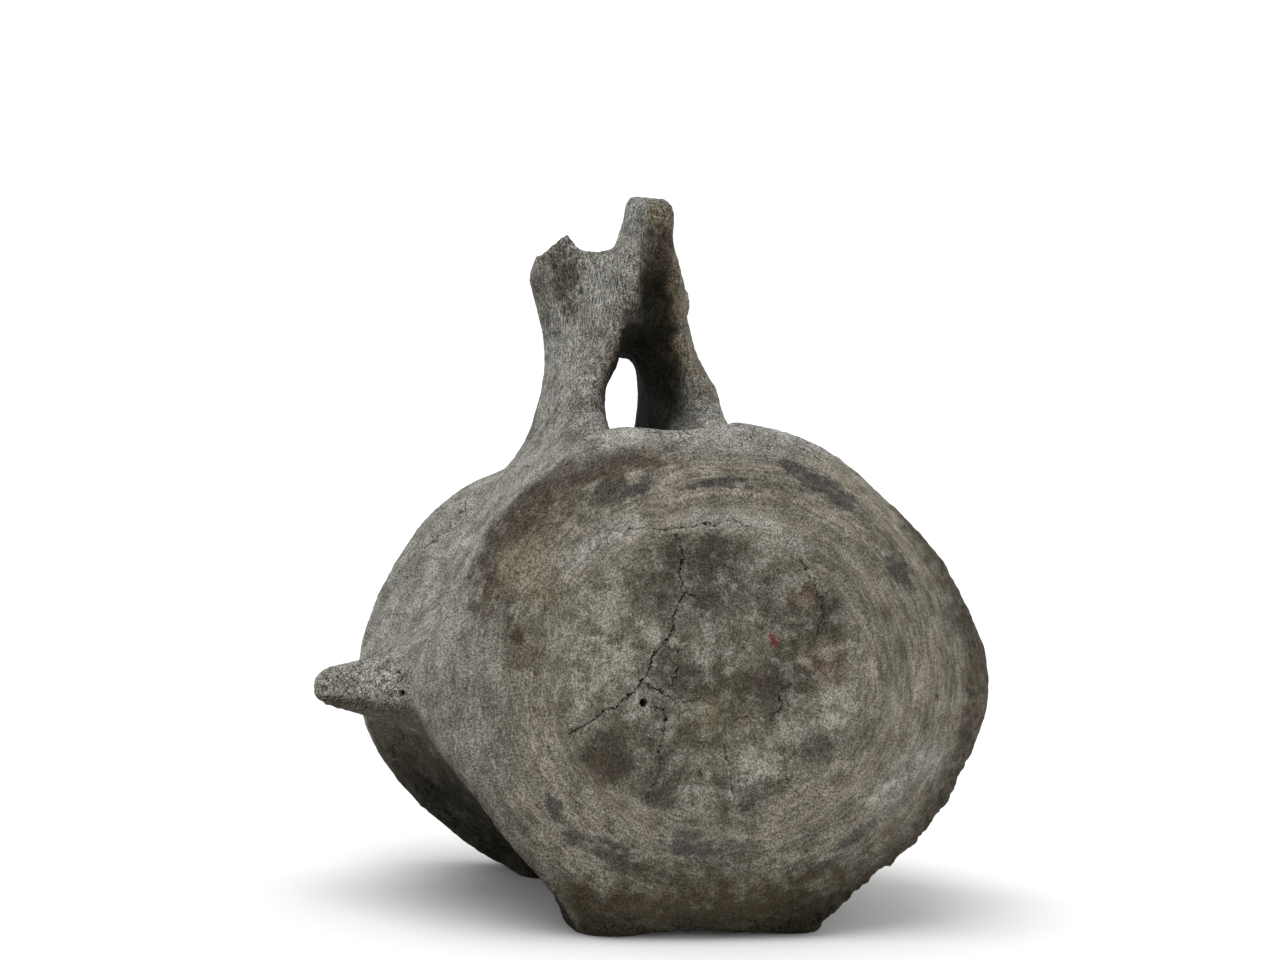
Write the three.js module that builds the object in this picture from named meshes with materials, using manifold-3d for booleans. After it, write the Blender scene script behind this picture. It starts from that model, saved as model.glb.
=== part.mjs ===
// A tail vertebra of a large baleen whale, lying on the floor on its four haemal tubercles.
// Millimetres, +Z up. The bone is shaped in a frame of its own: the origin is the middle of the
// hind rim, X runs to the right, Y forward along the bone and Z up through the neural spine.
// The last group tips that frame so that the four tubercles stand level.
import * as THREE from "three";
import { mergeVertices } from "three/addons/utils/BufferGeometryUtils.js";
import Module from "manifold-3d";

const wasm = await Module();
wasm.setup();

// Driving dimensions.
const midline = -8; // the arch, the canal and the tubercles stand a little left of the rim's middle
const rimSpacing = 178; // from the hind rim to the front rim
const gap = 0.3; // between the named pieces
const floorTilt = THREE.MathUtils.degToRad(2.4); // the hind tubercles are the longer ones
const floorRoll = THREE.MathUtils.degToRad(2.6); // the right ones are longer than the left ones
const floorDrop = 124; // from the rim's middle down to the floor, under the hind rim

// Each rim is an ellipse with swellings: at and spread in degrees round the rim, 0 at the right
// side and 90 on top, and rise in millimetres.
const hindRim = {
  halfWidth: 136,
  halfHeight: 124,
  swellings: [
    { at: -3, rise: 13, spread: 18 }, // root of the right transverse process
    { at: 183, rise: 15, spread: 16 }, // root of the left transverse process
    { at: -32, rise: 4, spread: 15 }, // lower right flank
    { at: 66, rise: 1, spread: 14 }, // upper right flank
    { at: 47, rise: -3, spread: 12 }, // right shoulder
    { at: 99, rise: -4, spread: 11 }, // floor of the neural canal
    { at: 116, rise: 6, spread: 10 }, // foot of the left pedicle
    { at: 82, rise: 2, spread: 7 }, // foot of the right pedicle
    { at: 143, rise: 5, spread: 16 }, // left shoulder
    { at: 212, rise: -4, spread: 18 }, // hollow under the left process
    { at: -69, rise: 7, spread: 10 }, // right haemal tubercle
    { at: -119, rise: 8, spread: 9 }, // left haemal tubercle
    { at: -93, rise: -2, spread: 9 }, // haemal groove
  ],
};
const frontRim = {
  halfWidth: 144,
  halfHeight: 128,
  swellings: [
    { at: -8, rise: 5, spread: 15 }, // root of the right transverse process
    { at: 184, rise: 8, spread: 22 }, // root of the left transverse process
    { at: 137, rise: 4, spread: 18 }, // left shoulder
    { at: 41, rise: 4, spread: 20 }, // right shoulder
    { at: 94, rise: -6, spread: 14 }, // floor of the neural canal
    { at: -122, rise: 3, spread: 12 }, // ridge above the left haemal tubercle
    { at: 226, rise: -2, spread: 14 }, // hollow under the left process
    { at: -92, rise: -15, spread: 22 }, // haemal groove
  ],
};

// Half section of the centrum, from the hind face's middle to the front face's middle:
// [share of the rim's reach, place along the bone].
const centrumSection = [
  [0, -12], [0.24, -13.5], [0.44, -18], [0.62, -21], [0.8, -18.5], [0.92, -12], [0.982, -4],
  [1, 4], [0.975, 16], [0.92, 36], [0.87, 62], [0.85, 90], [0.87, 118], [0.925, 144], [0.98, 164],
  [1, rimSpacing], [0.975, 187], [0.88, 194], [0.62, 199], [0.34, 196], [0, 192],
];

// One side of the neural arch, from the root inside the centrum to the metapophysis's tip. back
// and front are the wall's two ends: [distance from the midline, place along the bone].
const archWall = [
  { height: 82, back: [44, 36], front: [64, 178], thickness: 54 },
  { height: 104, back: [40, 42], front: [56, 181], thickness: 46 },
  { height: 120, back: [35, 58], front: [45, 182], thickness: 35 },
  { height: 136, back: [33, 80], front: [37, 181], thickness: 28 },
  { height: 156, back: [29, 90], front: [33, 179], thickness: 24 },
  { height: 172, back: [18, 94], front: [32, 177], thickness: 22 },
  { height: 186, back: [11, 92], front: [34, 176], thickness: 20 },
  { height: 202, back: [7, 82], front: [38, 175], thickness: 19 },
  { height: 218, back: [4, 75], front: [44, 173], thickness: 18 },
  { height: 227, back: [9, 88], front: [48, 169], thickness: 17 },
  { height: 236, back: [30, 126], front: [45, 157], thickness: 15 },
  { height: 243, back: [33, 131], front: [37, 141], thickness: 9 },
];
const rightTipDrop = 20; // the right metapophysis is worn lower than the left one
const rightTipInset = 6; // and leans this much back towards the spine
const rightStoutness = 12; // the right wall is this much thicker than the left one
const rightSpread = 2; // and stands this much further from the midline above its root
const rightRootInset = { back: 2, front: 7 }; // while the ends of its root stand closer to it

// The worn crest that runs from the spine's hind edge out to the right metapophysis.
const rightCrest = [
  { height: 196, back: [12, 84], front: [30, 130], thickness: 12 },
  { height: 206, back: [14, 80], front: [28, 124], thickness: 11 },
  { height: 216, back: [11, 75], front: [20, 104], thickness: 10 },
  { height: 229, back: [5, 70], front: [9, 84], thickness: 8 },
];

// The neural spine, from the canal's roof to its worn top. Its front end stands higher than its
// back end by climb.
const spineShift = 1; // the spine stands this far right of the midline
const spineSection = [
  { height: 180, back: 104, front: 158, thickness: 28, climb: 0 },
  { height: 192, back: 96, front: 157, thickness: 27, climb: 0 },
  { height: 206, back: 80, front: 158, thickness: 26, climb: 0 },
  { height: 219, back: 69, front: 162, thickness: 25, climb: 3 },
  { height: 229, back: 65, front: 145, thickness: 23, climb: 7 },
  { height: 239, back: 63, front: 124, thickness: 22, climb: 10 },
  { height: 246, back: 62, front: 115, thickness: 21, climb: 11 },
  { height: 250, back: 65, front: 112, thickness: 20, climb: 12 },
  { height: 253, back: 71, front: 109, thickness: 16, climb: 12 },
];

// A transverse process, from its root in the centrum to its worn tip: reach is measured from the
// bone's axis, back and front along it, low and high across it.
const processSection = [
  { reach: 108, back: 20, front: 156, low: -46, high: 38 },
  { reach: 132, back: 18, front: 146, low: -32, high: 23 },
  { reach: 149, back: 30, front: 132, low: -24, high: 10 },
  { reach: 165, back: 46, front: 114, low: -19, high: 5 },
  { reach: 178, back: 57, front: 101, low: -16, high: 3 },
  { reach: 184, back: 67, front: 91, low: -13, high: -2 },
];

// The four haemal tubercles, each a stout peg that the floor cuts flat.
const tubercles = [
  { name: "hind_left", x: -51, y: 18, width: 38, length: 40 },
  { name: "hind_right", x: 40, y: 18, width: 38, length: 40 },
  { name: "front_left", x: -46, y: 158, width: 38, length: 42 },
  { name: "front_right", x: 33, y: 158, width: 38, length: 42 },
];

// Solids.

function solid(geometry) {
  geometry.deleteAttribute("normal");
  geometry.deleteAttribute("uv");
  const merged = mergeVertices(geometry, 1e-3);
  const corners = merged.index.array;
  const triangles = [];
  for (let i = 0; i < corners.length; i += 3) {
    const [a, b, c] = [corners[i], corners[i + 1], corners[i + 2]];
    if (a !== b && b !== c && c !== a) {
      triangles.push(a, b, c);
    }
  }
  if (enclosedVolume(merged, triangles) < 0) {
    triangles.reverse();
  }
  return new wasm.Manifold(new wasm.Mesh({
    numProp: 3,
    vertProperties: new Float32Array(merged.attributes.position.array),
    triVerts: new Uint32Array(triangles),
  }));
}

function enclosedVolume(geometry, triangles) {
  const position = geometry.attributes.position;
  const [a, b, c] = [new THREE.Vector3(), new THREE.Vector3(), new THREE.Vector3()];
  let sixfold = 0;
  for (let i = 0; i < triangles.length; i += 3) {
    a.fromBufferAttribute(position, triangles[i]);
    b.fromBufferAttribute(position, triangles[i + 1]);
    c.fromBufferAttribute(position, triangles[i + 2]);
    sixfold += a.dot(b.cross(c));
  }
  return sixfold / 6;
}

function moveVertices(geometry, place) {
  const position = geometry.attributes.position;
  const point = new THREE.Vector3();
  for (let i = 0; i < position.count; i++) {
    point.fromBufferAttribute(position, i);
    point.copy(place(point));
    position.setXYZ(i, point.x, point.y, point.z);
  }
  return geometry;
}

// A closed body through rounded sections. Each section has a middle and two half axes, long and
// across, and smooth curves join the sections' middles and axes.
function loft(sections, steps, sides) {
  const curveOf = (key) => new THREE.CatmullRomCurve3(sections.map((section) => section[key]));
  const [middle, long, across] = [curveOf("middle"), curveOf("long"), curveOf("across")];
  const tube = new THREE.CylinderGeometry(1, 1, 1, sides, steps);
  return solid(moveVertices(tube, (point) => {
    const t = THREE.MathUtils.clamp(point.y + 0.5, 0, 1);
    const corner = middle.getPoint(t);
    corner.addScaledVector(long.getPoint(t), squared(point.x));
    corner.addScaledVector(across.getPoint(t), squared(point.z));
    return corner;
  }));
}

// Bends a circle's coordinate outwards, for a section between an ellipse and a rectangle.
function squared(share) {
  const squareness = 0.82;
  return Math.sign(share) * Math.abs(share) ** squareness;
}

function block(low, high) {
  const size = new THREE.Vector3().subVectors(high, low);
  const geometry = new THREE.BoxGeometry(size.x, size.y, size.z);
  geometry.translate((low.x + high.x) / 2, (low.y + high.y) / 2, (low.z + high.z) / 2);
  return solid(geometry);
}

// The parts of the bone.

// The swellings fade from the rim towards the middle of each face.
function rimReach(rim, angle, share) {
  let reach = 1 / Math.hypot(Math.cos(angle) / rim.halfWidth, Math.sin(angle) / rim.halfHeight);
  for (const { at, rise, spread } of rim.swellings) {
    const turn = THREE.MathUtils.radToDeg(angle) - at;
    const away = THREE.MathUtils.euclideanModulo(turn + 180, 360) - 180;
    reach += rise * share ** 3 * Math.exp(-((away / spread) ** 2));
  }
  return reach;
}

function makeCentrum() {
  const [steps, sides] = [28, 56];
  const section = new THREE.SplineCurve(centrumSection.map(([share, y]) => new THREE.Vector2(share, y)));
  const points = section.getPoints(steps);
  points[0].x = 0;
  points[steps].x = 0;
  const turned = new THREE.LatheGeometry(points, sides);
  return solid(moveVertices(turned, (point) => {
    const angle = Math.atan2(point.z, point.x);
    const share = Math.hypot(point.x, point.z);
    const along = THREE.MathUtils.smoothstep(point.y, 0, rimSpacing);
    const hindReach = rimReach(hindRim, angle, share);
    const reach = THREE.MathUtils.lerp(hindReach, rimReach(frontRim, angle, share), along);
    return new THREE.Vector3(point.x * reach, point.y, point.z * reach);
  }));
}

function wallSection(side, { height, back, front, thickness }) {
  const backEnd = new THREE.Vector3(midline + side * back[0], back[1], height);
  const frontEnd = new THREE.Vector3(midline + side * front[0], front[1], height);
  const long = frontEnd.clone().sub(backEnd).multiplyScalar(0.5);
  const across = new THREE.Vector3(long.y, -long.x, 0).setLength(thickness / 2);
  return { middle: backEnd.add(long), long, across };
}

// The right wall is stouter than the left one, and its tip is worn lower.
function rightStation({ height, back, front, thickness }) {
  const towardsTip = THREE.MathUtils.smoothstep(height, 180, archWall.at(-1).height);
  const aboveRoot = THREE.MathUtils.smoothstep(height, 120, 165);
  const shift = rightSpread * aboveRoot - rightTipInset * towardsTip;
  return {
    height: height - rightTipDrop * towardsTip,
    back: [back[0] + shift - rightRootInset.back * (1 - aboveRoot), back[1]],
    front: [front[0] + shift - rightRootInset.front * (1 - aboveRoot), front[1]],
    thickness: thickness + rightStoutness * (1 - towardsTip),
  };
}

function makeArchWall(side) {
  const stations = side > 0 ? archWall.map(rightStation) : archWall;
  return loft(stations.map((station) => wallSection(side, station)), 24, 16);
}

function makeRightCrest() {
  return loft(rightCrest.map((station) => wallSection(1, station)), 5, 10);
}

function makeSpine() {
  const sections = spineSection.map(({ height, back, front, thickness, climb }) => ({
    middle: new THREE.Vector3(midline + spineShift, (back + front) / 2, height + climb / 2),
    long: new THREE.Vector3(0, (front - back) / 2, climb / 2),
    across: new THREE.Vector3(thickness / 2, 0, 0),
  }));
  return loft(sections, 14, 16);
}

function makeTransverseProcess(side) {
  const sections = processSection.map(({ reach, back, front, low, high }) => ({
    middle: new THREE.Vector3(side * reach, (back + front) / 2, (low + high) / 2),
    long: new THREE.Vector3(0, (front - back) / 2, 0),
    across: new THREE.Vector3(0, 0, (high - low) / 2),
  }));
  return loft(sections, 10, 18);
}

function makeTubercle({ x, y, width, length }) {
  const stations = [
    { z: -66, share: 1.7 },
    { z: -92, share: 1.4 },
    { z: -110, share: 1.2 },
    { z: -132, share: 0.8 },
  ];
  const sections = stations.map(({ z, share }) => ({
    middle: new THREE.Vector3(x, y, z),
    long: new THREE.Vector3(share * width / 2, 0, 0),
    across: new THREE.Vector3(0, share * length / 2, 0),
  }));
  return loft(sections, 5, 16);
}

// The pit under the spine's hind edge, between the two laminae.
function makeSpinePit() {
  const pit = new THREE.SphereGeometry(1, 14, 10);
  pit.scale(8, 19, 18);
  pit.translate(midline + 3, 78, 195);
  return solid(pit);
}

// Everything below the floor, in the bone's own frame.
function makeUnderFloor() {
  const depth = 100;
  const slab = new THREE.BoxGeometry(600, 600, depth);
  slab.translate(0, 0, -depth / 2);
  slab.rotateX(floorTilt);
  slab.rotateY(floorRoll);
  slab.translate(0, 0, -floorDrop);
  return solid(slab);
}

function makeBone() {
  let bone = makeCentrum();
  for (const side of [-1, 1]) {
    bone = bone.add(makeArchWall(side));
    bone = bone.add(makeTransverseProcess(side));
  }
  bone = bone.add(makeSpine()).add(makeRightCrest());
  for (const tubercle of tubercles) {
    bone = bone.add(makeTubercle(tubercle));
  }
  return bone.subtract(makeSpinePit()).subtract(makeUnderFloor());
}

// The bone is parted where anatomists name it. Each region is a box, and takes what is left in
// it of the bone, in this order.
const far = 400;
const processRoot = 153.5;
const archFoot = 131;
const regions = [
  { name: "transverse_process_left", low: [-far, -far, -60], high: [-processRoot, far, 60] },
  { name: "transverse_process_right", low: [processRoot, -far, -60], high: [far, far, 60] },
  { name: "neural_spine", low: [midline - 16, -far, 190], high: [midline + 16, far, far] },
  { name: "metapophysis_left", low: [-far, -far, 208], high: [midline, far, far] },
  { name: "metapophysis_right", low: [midline, -far, 208], high: [far, far, far] },
  { name: "neural_arch_left", low: [-far, 24, archFoot], high: [midline, far, far] },
  { name: "neural_arch_right", low: [midline, 24, archFoot], high: [far, far, far] },
  ...tubercles.map(({ name, x, y }) => ({
    name: `haemal_tubercle_${name}`,
    low: [x < midline ? -far : midline, y < 90 ? -far : 90, -far],
    high: [x < midline ? midline : far, y < 90 ? 90 : far, -110],
  })),
  { name: "hind_epiphysis", low: [-far, -far, -far], high: [far, 6, far] },
  { name: "front_epiphysis", low: [-far, rimSpacing - 4, -far], high: [far, far, far] },
];

const looks = {
  hind_epiphysis: { color: 0x66615a, roughness: 0.92 },
  front_epiphysis: { color: 0x6e6a62, roughness: 0.92 },
  centrum: { color: 0x7d7b75, roughness: 0.9 },
  other: { color: 0x76746d, roughness: 0.9 },
};

function addPiece(group, name, body) {
  const { vertProperties, triVerts } = body.getMesh();
  const geometry = new THREE.BufferGeometry();
  geometry.setAttribute("position", new THREE.BufferAttribute(vertProperties, 3));
  geometry.setIndex(new THREE.BufferAttribute(triVerts, 1));
  geometry.computeVertexNormals();
  const look = looks[name] ?? looks.other;
  const mesh = new THREE.Mesh(geometry, new THREE.MeshStandardMaterial({ ...look, metalness: 0 }));
  mesh.name = name;
  group.add(mesh);
}

function partBone(group) {
  let left = makeBone();
  for (const { name, low, high } of regions) {
    const inner = block(
      new THREE.Vector3(...low).addScalar(gap / 2),
      new THREE.Vector3(...high).addScalar(-gap / 2),
    );
    const outer = block(
      new THREE.Vector3(...low).addScalar(-gap / 2),
      new THREE.Vector3(...high).addScalar(gap / 2),
    );
    addPiece(group, name, left.intersect(inner));
    left = left.subtract(outer);
  }
  addPiece(group, "centrum", left);
}

const bone = new THREE.Group();
partBone(bone);
bone.rotation.order = "XYZ";
bone.rotation.set(-floorTilt, -floorRoll, 0);

const vertebra = new THREE.Group();
vertebra.add(bone);
const box = new THREE.Box3().setFromObject(vertebra, true);
bone.position.set(-(box.min.x + box.max.x) / 2, -(box.min.y + box.max.y) / 2, -box.min.z);

export default vertebra;
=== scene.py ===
import itertools
import math

import bmesh
import bpy
import numpy as np
from mathutils import Matrix, Vector


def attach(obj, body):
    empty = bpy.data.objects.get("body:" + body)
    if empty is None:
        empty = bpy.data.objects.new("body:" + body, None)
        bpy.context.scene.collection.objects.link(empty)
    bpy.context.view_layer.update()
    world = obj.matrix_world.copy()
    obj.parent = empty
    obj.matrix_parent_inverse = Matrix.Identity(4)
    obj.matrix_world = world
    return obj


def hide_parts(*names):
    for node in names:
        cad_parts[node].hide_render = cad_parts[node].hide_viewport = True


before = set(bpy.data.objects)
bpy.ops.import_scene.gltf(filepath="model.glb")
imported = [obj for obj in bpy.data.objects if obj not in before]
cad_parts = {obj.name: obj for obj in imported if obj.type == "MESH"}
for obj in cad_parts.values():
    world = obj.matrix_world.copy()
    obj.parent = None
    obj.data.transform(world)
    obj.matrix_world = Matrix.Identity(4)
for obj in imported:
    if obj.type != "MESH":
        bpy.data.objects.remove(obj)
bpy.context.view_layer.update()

# A weathered tail vertebra of a large whale, resting on its four haemal tubercles.
# Lengths in the dictionaries are millimetres in the bone's own frame: the origin is the middle of
# the hind rim, X runs to the right, Y forward along the bone and Z up through the spine.

boneFrame = {
    "tilt": 2.4,  # degrees
    "roll": 2.6,
    "rimMiddle": (-0.34, -89.06, 123.76),  # where the origin lies in the row's frame
    "midline": -8.0,
    "rimHalfWidth": 136.0,
    "rimHalfHeight": 124.0,
}
boneTurn = np.array(
    Matrix.Rotation(-math.radians(boneFrame["tilt"]), 3, "X")
    @ Matrix.Rotation(-math.radians(boneFrame["roll"]), 3, "Y")
)
rimMiddle = np.array(boneFrame["rimMiddle"])
midline = boneFrame["midline"]
perMetre = 1000.0
farAway = 1e3


def toBone(points):
    return (points * perMetre - rimMiddle) @ boneTurn


def fromBone(points):
    return (points @ boneTurn.T + rimMiddle) / perMetre


# Seeded noise, and helpers for masks.

noiseSeed = 23
noiseSource = np.random.default_rng(noiseSeed)
tableSize = 256
shuffle = noiseSource.permutation(tableSize)
slopes = noiseSource.normal(size=(tableSize, 3))
slopes /= np.linalg.norm(slopes, axis=1, keepdims=True)
jitter = noiseSource.uniform(0.0, 1.0, size=(tableSize, 3))
noiseGain = 1.6
layerShift = 19.3


def cellMark(cell):
    last = tableSize - 1
    low = cell & last
    return shuffle[(shuffle[(shuffle[low[:, 0]] + low[:, 1]) & last] + low[:, 2]) & last]


def smoothNoise(points):
    # Gradient noise, about -0.8 to 0.8, one bump to a unit.
    cell = np.floor(points).astype(np.int64)
    part = points - cell
    ease = part**3 * (part * (part * 6 - 15) + 10)
    total = np.zeros(len(points))
    for corner in itertools.product((0, 1), repeat=3):
        corner = np.array(corner)
        weight = np.prod(np.where(corner, ease, 1 - ease), axis=1)
        total += weight * np.einsum("ij,ij->i", slopes[cellMark(cell + corner)], part - corner)
    return total * noiseGain


def layered(points, size, layers, shift):
    total = np.zeros(len(points))
    for layer in range(layers):
        total += smoothNoise(points * (2**layer / size) + layerShift * layer + shift) / 2**layer
    return total


def scatter(points, size, shift):
    # Distance to the nearest of many scattered dots, in units of size.
    spread = points / size + shift
    cell = np.floor(spread).astype(np.int64)
    nearest = np.full(len(points), farAway)
    for corner in itertools.product((-1, 0, 1), repeat=3):
        near = cell + np.array(corner)
        nearest = np.minimum(nearest, np.linalg.norm(near + jitter[cellMark(near)] - spread, axis=1))
    return nearest


def rise(values, start, full):
    # 0 at start and 1 at full, with a soft run between; it falls where full is the lower one.
    share = np.clip((values - start) / (full - start), 0.0, 1.0)
    return share * share * (3 - 2 * share)


def bell(distance, width):
    return np.exp(-((distance / width) ** 2))


def toPath(flat, path):
    # Distance of flat points to a bent line, and how far along the line the nearest place is (0-1).
    nearest = np.full(len(flat), farAway)
    along = np.zeros(len(flat))
    pieces = list(zip(path[:-1], path[1:]))
    for number, (start, end) in enumerate(pieces):
        start, end = np.array(start, float), np.array(end, float)
        span = end - start
        share = np.clip(((flat - start) @ span) / (span @ span), 0, 1)
        distance = np.linalg.norm(flat - start - share[:, None] * span, axis=1)
        closer = distance < nearest
        nearest = np.where(closer, distance, nearest)
        along = np.where(closer, (number + share) / len(pieces), along)
    return nearest, along


def readVectors(collection, name):
    values = np.empty(len(collection) * 3, np.float32)
    collection.foreach_get(name, values)
    return values.reshape(-1, 3).astype(float)


# The skin: one closed surface over all the named pieces.

skin = {
    "name": "whale_vertebra",
    "closeGap": 0.00025,  # metres that each piece grows, so that the pieces meet
    "weld": 0.00001,  # metres
    "voxel": 0.0037,  # metres
    "facetRounds": 8,
    "facetPulls": (0.5, -0.52),  # a pull in and a push back, which keeps the size
    "fillRounds": 34,
    "fillPull": 0.6,
    "fillFrom": (0.04, 0.22),  # how hollow a place is where it starts to fill and fills most
    "slide": 0.3,  # spaces the points evenly within the surface
    "keepOpen": 0.12,  # share of the filling that is let into the neural canal
    "canalHalfWidth": 26,
    "canalHind": 20,
    "canalFloor": 112,
    "canalRoof": 140,  # above this the canal's corners fill freely
    "floorHold": 3.0,  # what lies lower than this isn't filled
    "lastRounds": 2,
    "lastPulls": (0.4, -0.41),
    "subdivisions": 2,
    "mapAngle": 1.15,
    "mapGap": 0.004,
}

# The left rim is softened more, where the face rolls over into the side.
leftRoll = {
    "rounds": 40,
    "pulls": (0.5,),
    "outward": (92, 124),
    "lean": 0.5,  # how much the outward edge leans in with the height
    "low": (-84, -50),
    "high": (112, 92),
    "behind": (34, 18),
}


def joinPieces():
    joined = bmesh.new()
    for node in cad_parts.values():
        piece = bmesh.new()
        piece.from_mesh(node.data)
        bmesh.ops.remove_doubles(piece, verts=piece.verts, dist=skin["weld"])
        piece.normal_update()
        for vertex in piece.verts:
            vertex.co += vertex.normal * skin["closeGap"]
        grown = bpy.data.meshes.new("grown")
        piece.to_mesh(grown)
        piece.free()
        joined.from_mesh(grown)
        bpy.data.meshes.remove(grown)
    mesh = bpy.data.meshes.new(skin["name"])
    joined.to_mesh(mesh)
    joined.free()
    return mesh


def applyModifiers(piece):
    bpy.context.view_layer.update()
    graph = bpy.context.evaluated_depsgraph_get()
    mesh = bpy.data.meshes.new_from_object(piece.evaluated_get(graph))
    piece.modifiers.clear()
    piece.data = mesh
    mesh.name = piece.name


def quadNormals(points, quads):
    corners = [points[quads[:, corner]] for corner in range(4)]
    across = np.cross(corners[2] - corners[0], corners[3] - corners[1])
    normals = np.zeros_like(points)
    for corner in range(4):
        for axis in range(3):
            normals[:, axis] += np.bincount(quads[:, corner], across[:, axis], len(points))
    return normals / np.maximum(np.linalg.norm(normals, axis=1, keepdims=True), 1e-12)


def smoothOut(points, pull, rounds, pulls, share=1.0):
    for _ in range(rounds):
        for strength in pulls:
            points = points + strength * share * pull(points)
    return points


def meltCreases(mesh):
    # Softens the facets everywhere and lets sharp inner creases fill, as bone grows over its joins.
    points = readVectors(mesh.vertices, "co") * perMetre
    pairs = np.empty(len(mesh.edges) * 2, np.int32)
    mesh.edges.foreach_get("vertices", pairs)
    pairs = pairs.reshape(-1, 2)
    quads = np.empty(len(mesh.loops), np.int32)
    mesh.loops.foreach_get("vertex_index", quads)
    quads = quads.reshape(-1, 4)
    count = np.bincount(pairs.ravel(), minlength=len(points))[:, None]

    def pull(points):
        # From each point to the middle of its neighbours.
        total = np.empty_like(points)
        for axis in range(3):
            total[:, axis] = np.bincount(pairs[:, 0], points[pairs[:, 1], axis], len(points))
            total[:, axis] += np.bincount(pairs[:, 1], points[pairs[:, 0], axis], len(points))
        return total / count - points

    x, y, z = toBone(points / perMetre).T
    inCanal = (np.abs(x - midline) < skin["canalHalfWidth"]) & (y > skin["canalHind"])
    inCanal &= (z > skin["canalFloor"]) & (z < skin["canalRoof"])
    fill = np.where(inCanal, skin["keepOpen"], 1.0)
    onFloor = points[:, 2] < skin["floorHold"]
    rolled = rise(-x + leftRoll["lean"] * z * (z > 0), *leftRoll["outward"])
    rolled *= rise(z, *leftRoll["low"]) * rise(z, *leftRoll["high"]) * rise(y, *leftRoll["behind"])

    points = smoothOut(points, pull, skin["facetRounds"], skin["facetPulls"])
    for _ in range(skin["fillRounds"]):
        delta = pull(points)
        normals = quadNormals(points, quads)
        outward = np.einsum("ij,ij->i", delta, normals)
        strength = skin["fillPull"] * fill * rise(outward, *skin["fillFrom"]) * ~onFloor
        points = points + (strength * outward)[:, None] * normals
        points = points + skin["slide"] * (delta - outward[:, None] * normals)
    points = smoothOut(points, pull, leftRoll["rounds"], leftRoll["pulls"], rolled[:, None])
    points = smoothOut(points, pull, skin["lastRounds"], skin["lastPulls"])
    mesh.vertices.foreach_set("co", (points / perMetre).astype(np.float32).ravel())
    mesh.update()


def unwrap(piece):
    # The map is laid out on the coarse surface and follows it when it is divided.
    piece.data.uv_layers.new(name="OFBake")
    bpy.context.view_layer.objects.active = piece
    piece.select_set(True)
    bpy.ops.object.mode_set(mode="EDIT")
    bpy.ops.mesh.select_all(action="SELECT")
    bpy.ops.uv.smart_project(angle_limit=skin["mapAngle"], island_margin=skin["mapGap"])
    bpy.ops.object.mode_set(mode="OBJECT")


def makeSkin():
    piece = bpy.data.objects.new(skin["name"], joinPieces())
    bpy.context.scene.collection.objects.link(piece)
    cover = piece.modifiers.new("cover", "REMESH")
    cover.mode = "VOXEL"
    cover.voxel_size = skin["voxel"]
    applyModifiers(piece)
    meltCreases(piece.data)
    unwrap(piece)
    finer = piece.modifiers.new("finer", "SUBSURF")
    finer.levels = finer.render_levels = skin["subdivisions"]
    finer.uv_smooth = "NONE"
    applyModifiers(piece)
    print("skin:", len(piece.data.vertices), "points")
    return piece


# Cracks and holes. A crack is its half width and its flat (x, z) places on the hind face.

wounds = {
    "cracks": [
        (0.56, [(-28, 67), (-23, 57), (-26, 47), (-21, 40), (-27, 30), (-26, 23), (-33, 14), (-38, 8),
                (-40, 1), (-46, -6), (-59, -15), (-68, -19), (-80, -25)]),
        (0.47, [(-23, 3), (-27, -1), (-27, -5)]),
        (0.31, [(-43, -4), (-36, -5), (-30, -9), (-20, -12), (-14, -12)]),
        (0.27, [(-39, -14), (-33, -16), (-31, -20), (-34, -33), (-36, -45), (-42, -57)]),
        (0.28, [(34, 58), (43, 45), (48, 36), (48, 25), (44, 16)]),
        (0.47, [(33, -3), (28, -8), (28, -15), (22, -20)]),
        (0.35, [(4, -21), (12, -18), (15, -21)]),
        (0.31, [(29, -44), (28, -51), (34, -58)]),
        (0.2, [(-1, -33), (1, -44), (1, -60)]),
        (0.22, [(-51, 69), (-34, 69), (-18, 72), (2, 73), (14, 70)]),
        (0.37, [(-15, 118), (-4, 116), (5, 114), (12, 116), (20, 119)]),
        (0.31, [(9, 123), (7, 116), (8, 111)]),
        (0.31, [(30, 117), (42, 112), (50, 106)]),
        (0.19, [(-24, 40), (-14, 36), (-6, 38)]),
        (0.19, [(-33, 14), (-24, 12), (-18, 15)]),
    ],
    "crackDepth": 1.0,
    "crackEdge": (1.25, 0.5),  # in half widths, where a crack begins to open and where it is open
    "sagDepth": 0.25,  # the surface sinks a little beside a crack
    "sagReach": 5.0,
    "stray": 1.5,  # how far a crack strays from its path
    "bends": [(1.0, 5.0, (3.1, 8.7)), (0.7, 1.6, (5.3, 1.9))],  # share, size and shifts of straying
    "thick": 0.75,
    "thickChange": 0.7,
    "thickSize": 3.3,
    "thickShift": 2.7,
    "thickLimits": (0.35, 1.4),
    "thinEnds": 0.4,  # how wide a crack is at its ends
    "endLimits": (0.04, 0.96),
    "hole": (-42, -12),
    "holeRadius": 2.1,
    "holeEdge": (1.0, 0.72),
    "holeDepth": 6.0,
    "processHoles": [((-150, 36, 2), 1.5), ((-149, 31, -8), 1.9), ((-171, 58, -12), 1.3)],
    "processHoleEdge": (1.0, 0.6),
    "processHoleDepth": 3.2,
    "onFace": 0.3,  # share of the hind face that a point has to have
    "fineCuts": 3,  # how many times the surface is cut finer round the cracks and holes
    "fineReach": 3.0,
    "fineDepth": 6,
    "fineTurn": -0.2,
}


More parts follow.
